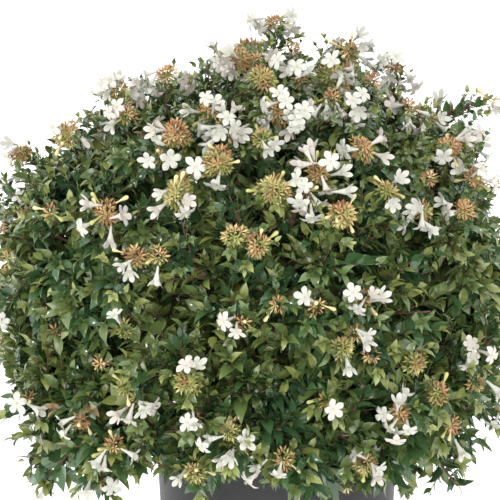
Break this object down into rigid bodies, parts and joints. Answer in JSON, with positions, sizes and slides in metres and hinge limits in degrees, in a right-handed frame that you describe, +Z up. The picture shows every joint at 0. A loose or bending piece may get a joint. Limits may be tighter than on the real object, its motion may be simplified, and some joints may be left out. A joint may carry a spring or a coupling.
{
  "type": "potted flowering shrub",
  "caption": "Compact glossy abelia in flower: a dense, twiggy dome of small glossy leaves, white funnel flowers and coppery sepals, growing in a plain round nursery pot.",
  "frame": {"origin": "centre of the flat underside of the pot", "axes": "+Z up the main stem, -Y towards the front of the plant, +X to the right seen from there"},
  "size_m": [0.5793, 0.5797, 0.6735],
  "materials": {
    "pot": "thin moulded nursery-pot plastic, dark grey, matt with a slight sheen",
    "mix": "loose, matt potting mix of bark chips and peat",
    "bark": "thin reddish-brown bark, finely ridged, grey-brown low on the main stem",
    "foliage": "glossy dark green leaves with some lime new growth, white flowers and copper sepals"
  },
  "bodies": {
    "root": {"pot": "pot", "potting_mix": "mix", "main_stem": "bark", "bough_skirt_1": "bark", "foliage_skirt_1": "foliage", "bough_skirt_2": "bark", "foliage_skirt_2": "foliage", "bough_skirt_3": "bark", "foliage_skirt_3": "foliage", "bough_skirt_4": "bark", "foliage_skirt_4": "foliage", "bough_skirt_5": "bark", "foliage_skirt_5": "foliage", "bough_skirt_6": "bark", "foliage_skirt_6": "foliage", "bough_flank_1": "bark", "foliage_flank_1": "foliage", "bough_flank_2": "bark", "foliage_flank_2": "foliage", "bough_flank_3": "bark", "foliage_flank_3": "foliage", "bough_flank_4": "bark", "foliage_flank_4": "foliage", "bough_flank_5": "bark", "foliage_flank_5": "foliage", "bough_shoulder_1": "bark", "foliage_shoulder_1": "foliage", "bough_shoulder_2": "bark", "foliage_shoulder_2": "foliage", "bough_shoulder_3": "bark", "foliage_shoulder_3": "foliage", "bough_peak": "bark", "foliage_peak": "foliage"}
  },
  "joints": []
}
